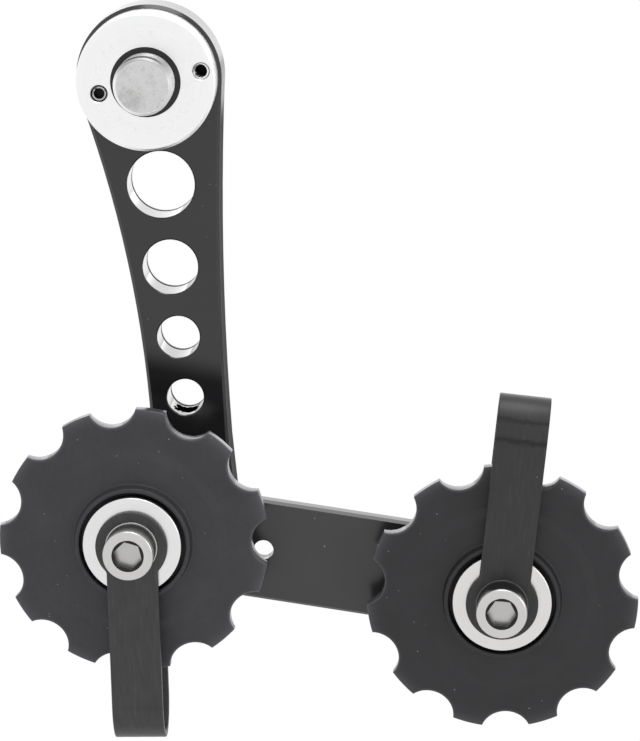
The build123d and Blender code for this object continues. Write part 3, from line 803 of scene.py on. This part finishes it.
# %% The two wheels
TEETH = 11
STEPS_PER_TOOTH = 40
TIP = 21.65
ROOT = 18.9
VALLEY = 4.1
TIP_HALF = 1.0
RIM_HALF = 1.4
EDGE_ROUND = 0.22
RIM_ZONE = 1.5 * EDGE_ROUND
PULLEY_MIDDLE = joints["guide_spin"]["pos_m"][1] / MM
WHEEL_SIDE = (
    (7.0, 3.0, 0.0),
    (7.6, 3.0, 0.1),
    (7.6, 1.0, 0.0),
    (8.55, 1.0, 0.0),
    (8.55, 3.65, 0.25),
    (9.25, 3.65, 0.3),
    (9.5, 1.75, 0.3),
    (13.6, 1.75, 1.5),
    (15.2, RIM_HALF, 1.5),
    (18.2, RIM_HALF, 0.0),
    (TIP, TIP_HALF, EDGE_ROUND),
)
FIRST_TOOTH = {"guide": 16.9, "tension": 26.5}


def make_wheel(pulley, axis):
    front = [(radius, -half, rounding) for radius, half, rounding in WHEEL_SIDE]
    back = list(reversed(WHEEL_SIDE))
    mesh = section_mesh(pulley + "_section", rounded_section(front + back))
    sizes = {
        "Steps": float(TEETH * STEPS_PER_TOOTH),
        "Teeth": float(TEETH),
        "Tip": TIP * MM,
        "Root": ROOT * MM,
        "Valley": VALLEY * MM,
        "Taper": (RIM_HALF - TIP_HALF) * MM,
        "Rim": (TIP - RIM_ZONE) * MM,
        "Edge": EDGE_ROUND * MM,
        "First valley": math.radians(FIRST_TOOTH[pulley] + 180 / TEETH),
        "Finish": resin[pulley],
    }
    piece = grow(pulley + "_toothed_wheel", toothed_wheel, mesh, sizes)
    piece.data.transform(Matrix.Translation((axis[0] * MM, PULLEY_MIDDLE * MM, axis[1] * MM)))
    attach(piece, pulley + "_pulley")
    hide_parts(pulley + "_wheel")


for pulley, axis in PULLEYS.items():
    make_wheel(pulley, axis)

# %% [markdown]
# The hanger bolt is turned too, with a helical thread on its free end. Flanks meet cleanly if the thread is
# a rule instead of a swept curve: the radius dips once in every pitch, and the dip moves along by one pitch
# in every turn. The chamfer at the end wins wherever it is smaller. A six-sided prism cuts the key socket.

# %% Tree for the threaded bolt
THREAD_SIZES = ("Pitch", "Major", "Depth", "Thread start", "Thread end")
BOLT_SIZES = ("Steps", *THREAD_SIZES, "Key", "Key floor", "Head end")
KEY_SIDES = 6
KEY_OVERSHOOT = 1.0
CREST = 0.16


def thread_dip(board, inputs, turn, offset):
    """0 on the thread's crest and 1 in its root, along a helix."""
    phase = board.maths("FRACT", offset / inputs.sibling("Pitch") + turn)
    slope = board.maths("ABSOLUTE", 2 * phase - 1)
    ends = {"Value": slope, "From Min": CREST, "From Max": 1 - CREST}
    return board.add("ShaderNodeMapRange", None, ends)


def bolt_tree():
    board, inputs = new_tree("threaded_bolt", BOLT_SIZES)
    grid, turn, radius, offset = spun_grid(board, inputs)
    groove = inputs.sibling("Major") - inputs.sibling("Depth") * thread_dip(board, inputs, turn, offset)
    threaded = between(offset, inputs.sibling("Thread start"), inputs.sibling("Thread end"))
    final_radius = radius + threaded * (board.maths("MINIMUM", radius, groove) - radius)
    mesh = spun_mesh(board, grid, final_radius, turn, offset)
    floor = inputs.sibling("Key floor")
    top = inputs.sibling("Head end") + KEY_OVERSHOOT * MM
    key = {"Vertices": KEY_SIDES, "Radius": inputs.sibling("Key"), "Depth": top - floor}
    key = board.add("GeometryNodeMeshCylinder", None, key, "Mesh")
    lying = {"Geometry": key, "Rotation": (math.pi / 2, 0.0, 0.0)}
    lying["Translation"] = board.point(0.0, (top + floor) / 2, 0.0)
    key = board.add("GeometryNodeTransform", None, lying)
    mesh = board.add("GeometryNodeMeshBoolean", None, {"Mesh 1": mesh, "Mesh 2": key}, "Mesh")
    close_tree(board, inputs, mesh)
    return board.tree


threaded_bolt = bolt_tree()
print("tree:", threaded_bolt.name, "with", len(threaded_bolt.nodes), "nodes")

# %% [markdown]
# The bolt's section starts at the stud's end, with close points along the thread for a smooth helix, and
# then steps out for the shoulder that the arm turns on and the head with its hexagon key.

# %% The hanger bolt
HEAD_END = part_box("hanger_bolt")[1].y / MM
HEAD_FRONT = HEAD_END - 4.0
HEAD_RADIUS = 8.0
HEAD_BEVEL = 0.5
HEAD_ROUND = 0.2
SHOULDER_RADIUS = 6.2
SHOULDER_ROUND = 0.1
SHANK_RADIUS = 4.45
THREAD_PITCH = 1.0
THREAD_DEPTH = 0.35
THREAD_RUN = (0.02, 4.65)
THREAD_POINTS = 60
FIRST_POINT = 0.03
DISC_BACK = 4.7
KEY_FLATS = 5.0
KEY_DEPTH = 3.0


def key_radius(flats):
    """Corner radius of a hexagon key, from the width across its flats."""
    return flats / math.sqrt(3) * MM


def bolt_section():
    start = THREAD_RADIUS - THREAD_CHAMFER
    corners = [(0.0, STUD_END, 0.0), (start - FACE_TRIM, STUD_END, 0.0)]
    for index in range(THREAD_POINTS):
        behind = FIRST_POINT - STUD_END * index / THREAD_POINTS
        corners.append((min(start + behind, THREAD_RADIUS), STUD_END + behind, 0.0))
    corners += [
        (THREAD_RADIUS, 0.0, 0.0),
        (SHANK_RADIUS, 0.0, 0.0),
        (SHANK_RADIUS, DISC_BACK, 0.0),
        (SHOULDER_RADIUS, DISC_BACK, SHOULDER_ROUND),
        (SHOULDER_RADIUS, HEAD_FRONT, SHOULDER_ROUND),
        (HEAD_RADIUS, HEAD_FRONT, HEAD_ROUND),
        (HEAD_RADIUS, HEAD_END - HEAD_BEVEL, HEAD_ROUND),
        (HEAD_RADIUS - HEAD_BEVEL, HEAD_END, HEAD_ROUND),
        (0.0, HEAD_END, 0.0),
    ]
    return rounded_section(corners, closed=False)


bolt_sizes = {
    "Steps": 120.0,
    "Pitch": THREAD_PITCH * MM,
    "Major": THREAD_RADIUS * MM,
    "Depth": THREAD_DEPTH * MM,
    "Thread start": (STUD_END + THREAD_RUN[0]) * MM,
    "Thread end": (STUD_END + THREAD_RUN[1]) * MM,
    "Key": key_radius(KEY_FLATS),
    "Key floor": (HEAD_END - KEY_DEPTH) * MM,
    "Head end": HEAD_END * MM,
    "Finish": stud,
}
bolt_line = section_mesh("bolt_section", bolt_section())
hanger = grow("threaded_hanger_bolt", threaded_bolt, bolt_line, bolt_sizes)
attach(hanger, "base")
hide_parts("hanger_bolt")

# %% [markdown]
# The pulley bolts are socket screws with a thin bead under the head. The same tree makes them, without a
# thread and with the head at the high end, and half a turn about Z then points it at the viewer. A bolt
# stops at any angle when it is tight, so each hexagon has its own turn.

# %% The pulley bolts
BOLT_HEAD = 4.05
BOLT_HEAD_ROUND = 0.45
BOLT_SHANK = 2.5
BOLT_TIP = 0.4
FINE_ROUND = 0.06
BOLT_KEY_FLATS = 4.0
UNUSED_PITCH = 1.0
SOCKET_TURN = {"guide": -16.0, "tension": -4.0}
BOLT_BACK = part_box("guide_bolt")[1].y / MM


def pulley_bolt_section():
    corners = [
        (0.0, -BOLT_BACK, 0.0),
        (BOLT_SHANK - BOLT_TIP, -BOLT_BACK, 0.0),
        (BOLT_SHANK, BOLT_TIP - BOLT_BACK, 0.0),
        (BOLT_SHANK, -CLIP_FRONT, 0.0),
        (BOLT_HEAD + BEAD, -CLIP_FRONT, 0.0),
        (BOLT_HEAD + BEAD, BEAD - CLIP_FRONT, FINE_ROUND),
        (BOLT_HEAD, BEAD - CLIP_FRONT, 0.0),
        (BOLT_HEAD, -BOLT_FRONT, BOLT_HEAD_ROUND),
        (SOCKET_MOUTH, -BOLT_FRONT, FINE_ROUND),
        (0.0, -BOLT_FRONT - SOCKET_MOUTH / 2, 0.0),
    ]
    return rounded_section(corners, closed=False)


def make_pulley_bolt(pulley, axis):
    sizes = {
        "Steps": 96.0,
        "Pitch": UNUSED_PITCH * MM,
        "Key": key_radius(BOLT_KEY_FLATS),
        "Key floor": (-BOLT_FRONT - SOCKET_DEPTH) * MM,
        "Head end": -BOLT_FRONT * MM,
        "Finish": bolt_metal[pulley],
    }
    mesh = section_mesh(pulley + "_bolt_section", pulley_bolt_section())
    piece = grow(pulley + "_socket_bolt", threaded_bolt, mesh, sizes)
    place = Matrix.Translation((axis[0] * MM, 0.0, axis[1] * MM))
    tightened = Matrix.Rotation(math.radians(SOCKET_TURN[pulley]), 4, "Y")
    piece.data.transform(place @ Matrix.Rotation(math.pi, 4, "Z") @ tightened)
    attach(piece, "cage")
    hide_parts(pulley + "_bolt")


for pulley, axis in PULLEYS.items():
    make_pulley_bolt(pulley, axis)

# %% [markdown]
# Caps and the thread cut in the disc's empty hole are rings: a closed section, spun. One tree makes both.
# Depth is the thread's depth in the bore, and 0 leaves the bore plain.

# %% Tree for turned rings
RING_SIZES = ("Steps", "Bore", "Pitch", "Depth")


def ring_tree():
    board, inputs = new_tree("turned_ring", RING_SIZES)
    grid, turn, radius, offset = spun_grid(board, inputs)
    depth = inputs.sibling("Depth")
    in_bore = radius < inputs.sibling("Bore") + depth / 2
    cut = in_bore * depth * thread_dip(board, inputs, turn, offset)
    close_tree(board, inputs, spun_mesh(board, grid, radius + cut, turn, offset))
    return board.tree


turned_ring = ring_tree()


def make_ring(name, corners, axis, sizes, body):
    mesh = section_mesh(name + "_section", rounded_section(corners))
    piece = grow(name, turned_ring, mesh, sizes)
    piece.data.transform(Matrix.Translation((axis[0] * MM, 0.0, axis[1] * MM)))
    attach(piece, body)
    return piece


print("tree:", turned_ring.name, "with", len(turned_ring.nodes), "nodes")

# %% [markdown]
# A cap is pressed from sheet, with a boss that sits on the bearing. Its front edge is rolled and catches a
# line of light. Front and rear caps mirror each other, so a rear cap's corners are listed backwards.

# %% Pulley caps
CAP_RIM = 7.9
CAP_BOSS = 3.6
CAP_BORE = 2.52
CAP_SHEET = 1.0
CAP_ROLL = 0.3
CAP_ROUND = 0.1


def make_cap(pulley, side, axis):
    node = pulley + side
    low, high = (corner.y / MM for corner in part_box(node))
    face, seat, inward = (low, high, 1) if side == "_front_cap" else (high, low, -1)
    under = face + inward * CAP_SHEET
    corners = [
        (CAP_BORE, face, 0.0),
        (CAP_RIM, face, CAP_ROLL),
        (CAP_RIM, under, CAP_ROUND),
        (CAP_BOSS, under, 0.0),
        (CAP_BOSS, seat, 0.0),
        (CAP_BORE, seat, 0.0),
    ]
    sizes = {"Steps": 128.0, "Pitch": UNUSED_PITCH * MM, "Finish": cap_metal[pulley]}
    cap = make_ring(node + "_rolled", corners[::inward], axis, sizes, "cage")
    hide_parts(node)


for pulley, axis in PULLEYS.items():
    make_cap(pulley, "_front_cap", axis)
    make_cap(pulley, "_rear_cap", axis)

# %% [markdown]
# The disc's right hole is empty, so its cut thread shows. The ring that carries it has a bright front face,
# like the disc round it, and a darker wall of painted shade.

# %% Cut thread
HOLE_CREST = 0.98
HOLE_OUTSIDE = 1.30
HOLE_SPAN = (0.25, 3.5)
HOLE_FACE = 0.04
HOLE_PITCH = 0.5
HOLE_DEPTH = 0.26
HOLE_POINTS = 66


def make_cut_thread(hole):
    start, end = HOLE_SPAN
    # Painted shade: the thread's wall is darker than its front face.
    wall = (hole, HOLE_OUTSIDE, start + HOLE_FACE, 0.30)
    step = (end - start) / HOLE_POINTS
    corners = [(HOLE_OUTSIDE, start, 0.0), (HOLE_OUTSIDE, end, 0.0)]
    corners += [(HOLE_CREST, end - step * index, 0.0) for index in range(HOLE_POINTS + 1)]
    sizes = {
        "Steps": 64.0,
        "Bore": HOLE_CREST * MM,
        "Pitch": HOLE_PITCH * MM,
        "Depth": HOLE_DEPTH * MM,
        "Finish": turned_metal("cut_thread_aluminium", hole, 0.90, 0.0, 0.26, bores=[wall]),
    }
    make_ring("spare_hole_thread", corners, hole, sizes, "base")


make_cut_thread(SCREW_HOLES[1])

# %% [markdown]
# A folded clip's edges are rounded by the paint, so its outline shows as a thin pale line. The solid's edges
# are sharp, so a copy of its mesh is welded, its flat faces are joined up again, and a Bevel modifier rounds
# the edges that are left. The result is kept as a plain mesh.

# %% Softened clips
PAINT_ROUND = 0.16
CAD_WELD = 1e-6
FLAT = math.radians(0.5)
SHARP = math.radians(35)


def softened(node, name, finish):
    """Copy of a node with rounded edges."""
    shell = bmesh.new()
    shell.from_mesh(nodes[node].data)
    bmesh.ops.remove_doubles(shell, verts=shell.verts, dist=CAD_WELD)
    bmesh.ops.dissolve_limit(shell, angle_limit=FLAT, verts=shell.verts, edges=shell.edges)
    plain = bpy.data.meshes.new(name)
    shell.to_mesh(plain)
    shell.free()
    piece = new_object(name, plain)
    bevel = piece.modifiers.new("paint_edge", "BEVEL")
    bevel.width = PAINT_ROUND * MM
    bevel.segments = 3
    bevel.limit_method = "ANGLE"
    bevel.angle_limit = SHARP
    bevel.use_clamp_overlap = False
    evaluated = piece.evaluated_get(bpy.context.evaluated_depsgraph_get())
    rounded = bpy.data.meshes.new_from_object(evaluated)
    piece.modifiers.clear()
    piece.data = rounded
    rounded.shade_smooth()
    rounded.set_sharp_from_angle(angle=SHARP)
    rounded.materials.clear()
    rounded.materials.append(finish)
    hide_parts(node)
    print(name, "has", len(rounded.polygons), "faces")
    return piece


for pulley, finish in clip_black.items():
    clip = softened(pulley + "_clip", pulley + "_chain_clip", finish)
    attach(clip, "cage")

# %% [markdown]
# A torsion spring's mesh is copied with the oiled wire finish and takes the node's place. Its coil's
# length, less a leg at each end, is printed.

# %% Spring copies
SPRING_LEG = 0.8


def wound_spring(node, name, front_body):
    mesh = nodes[node].data.copy()
    mesh.materials.clear()
    mesh.materials.append(spring_wire)
    piece = new_object(name, mesh)
    low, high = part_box(node)
    start = (0.0, low.y + SPRING_LEG * MM, 0.0)
    end = (0.0, high.y - SPRING_LEG * MM, 0.0)
    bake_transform(piece)
    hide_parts(node)
    coil = round((end[1] - start[1]) / MM, 2)
    print(name, "winds between", front_body, "and arm over", coil, "mm")


wound_spring("head_spring", "head_torsion_spring", "base")
wound_spring("cage_spring", "cage_torsion_spring", "cage")

# %% [markdown]
# Every other node keeps its exact shape and only takes a finish. One table is easier to check than a line
# for each, and a forgotten node would show at once in the print.

# %% Finishes on the solid model
finish_of = {
    "base_disc": disc_metal,
    "bolt_sleeve": sleeve_black,
    "stop_screw": screw_black,
    "tension_arm": arm_black,
    "head_bush": sleeve_black,
    "pivot_bush": sleeve_black,
    "cage_plate": plate_black,
    "pivot_axle": axle_metal,
    "pivot_circlip": spring_wire,
    "cage_stop_pin": axle_metal,
}
for pulley in PULLEYS:
    for inner in ("_inner_race", "_outer_race", "_balls"):
        finish_of[pulley + inner] = bearing_steel
for name, finish in finish_of.items():
    nodes[name].material_slots[0].material = finish
shown = {name for name, node in nodes.items() if not node.hide_render}
print("shown nodes:", len(shown), "without a finish:", shown - set(finish_of))

# %% [markdown]
# The photograph is a packshot: white all round, soft light, hardly a shadow. The floor lies low enough for
# the cage to swing clear. To the camera and in reflections it is mostly its own white, with a share of real
# shading left in, so that a faint shadow stays. The world is plain white there too, and as a light it is a
# little brighter above than below, which gives black faces depth.

# %% Floor and world
FLOOR_DROP = 48.0 * MM
FLOOR_HALF = 6.0
FLOOR_SIGNS = ((-1, -1), (1, -1), (1, 1), (-1, 1))
FLOOR_LEVEL = 0.86
SHADE_SHARE = 0.06
WORLD_TONES = (0.70, 0.90)
WORLD_RISE = (-0.4, 0.8)


def seen_rays(board):
    """1 for what the camera sees, straight on or in metal and glass."""
    ray = board.add("ShaderNodeLightPath", None, None, "Is Camera Ray")
    mirrored = board.maths("MAXIMUM", ray.sibling("Is Glossy Ray"), ray.sibling("Is Transmission Ray"))
    return board.maths("MAXIMUM", ray, mirrored)


def pale_floor():
    mesh = bpy.data.meshes.new("floor")
    level = cad_low.z - FLOOR_DROP
    corners = [(x * FLOOR_HALF, y * FLOOR_HALF, level) for x, y in FLOOR_SIGNS]
    mesh.from_pydata(corners, [], [(0, 1, 2, 3)])
    finish = Finish("pale_floor")
    matt = finish.add("ShaderNodeBsdfDiffuse", None, {"Color": grey(FLOOR_LEVEL)})
    white = finish.add("ShaderNodeEmission", None, {"Color": grey(1.0), "Strength": 1.0})
    seen = {0: seen_rays(finish) * (1 - SHADE_SHARE), 1: matt, 2: white}
    surface = finish.add("ShaderNodeMixShader", None, seen)
    finish.add("ShaderNodeOutputMaterial", None, {"Surface": surface})
    mesh.materials.append(finish.material)
    floor = new_object("floor", mesh)
    print("floor at", round(level / MM, 2), "mm")


def studio_world():
    world = bpy.data.worlds.new("studio")
    scene.world = world
    world.use_nodes = True
    world.node_tree.nodes.clear()
    board = Board(world.node_tree)
    toward = board.add("ShaderNodeTexCoord", None, None, "Generated")
    split = board.add("ShaderNodeSeparateXYZ", None, {0: toward})
    above = board.ramp(split.sibling("Z"), *WORLD_RISE)
    tone = board.tones(above, *WORLD_TONES)
    colour = board.blend(seen_rays(board), tone, grey(1.0))
    light = board.add("ShaderNodeBackground", None, {"Color": colour, "Strength": 1.0})
    board.add("ShaderNodeOutputWorld", None, {"Surface": light})


pale_floor()
studio_world()

# %% [markdown]
# Three soft lamps do the rest. One overhead draws the pale lines on upward edges, a weaker one at the right
# models the bolts and caps, and a wide one behind the part glows along its rims.

# %% Lamps
MIDDLE = (cad_low + cad_high) / 2


def softbox(name, place, size, watts):
    """Round lamp of that size in metres, aimed at the part's middle."""
    lamp = bpy.data.lights.new(name, "AREA")
    lamp.shape = "DISK"
    lamp.size = size
    lamp.energy = watts
    box = new_object(name, lamp)
    box.location = place
    box.rotation_mode = "QUATERNION"
    box.rotation_quaternion = (MIDDLE - Vector(place)).to_track_quat("-Z", "Y")


softbox("overhead", (0.10, -0.10, 0.75), 0.5, 2.2)
softbox("right_fill", (0.75, -0.45, 0.15), 0.4, 1.0)
softbox("rear_glow", (0.03, 1.3, 0.32), 1.0, 2.2)
print("lamps:", [lamp.name for lamp in bpy.data.lights])

# %% [markdown]
# The photograph looks along +Y from a little above. The lens is long, so edges stay nearly parallel. Place
# and lens were chosen so that the discs, bolts and holes fall where the photograph has them, with no lens
# shift, because a shift would push the part out of the picture in other views.

# %% Camera
CAMERA_PLACE = Vector((61.04, -560.9, 84.54)) * MM
CAMERA_AIM = Vector((27.40, 0.0, -45.96)) * MM
lens = bpy.data.cameras.new("photo_camera")
lens.lens = 176.26
lens.sensor_width = 36.0
lens.clip_end = 50.0
camera = new_object("photo_camera", lens)
camera.location = CAMERA_PLACE
camera.rotation_mode = "QUATERNION"
aimed = (CAMERA_AIM - CAMERA_PLACE).to_track_quat("-Z", "Y")
camera.rotation_quaternion = aimed
scene.camera = camera
scene.view_settings.view_transform = "Standard"
sight = aimed @ Vector((0, 0, -1))
print("camera looks down", round(math.degrees(math.asin(-sight.z)), 2), "degrees")
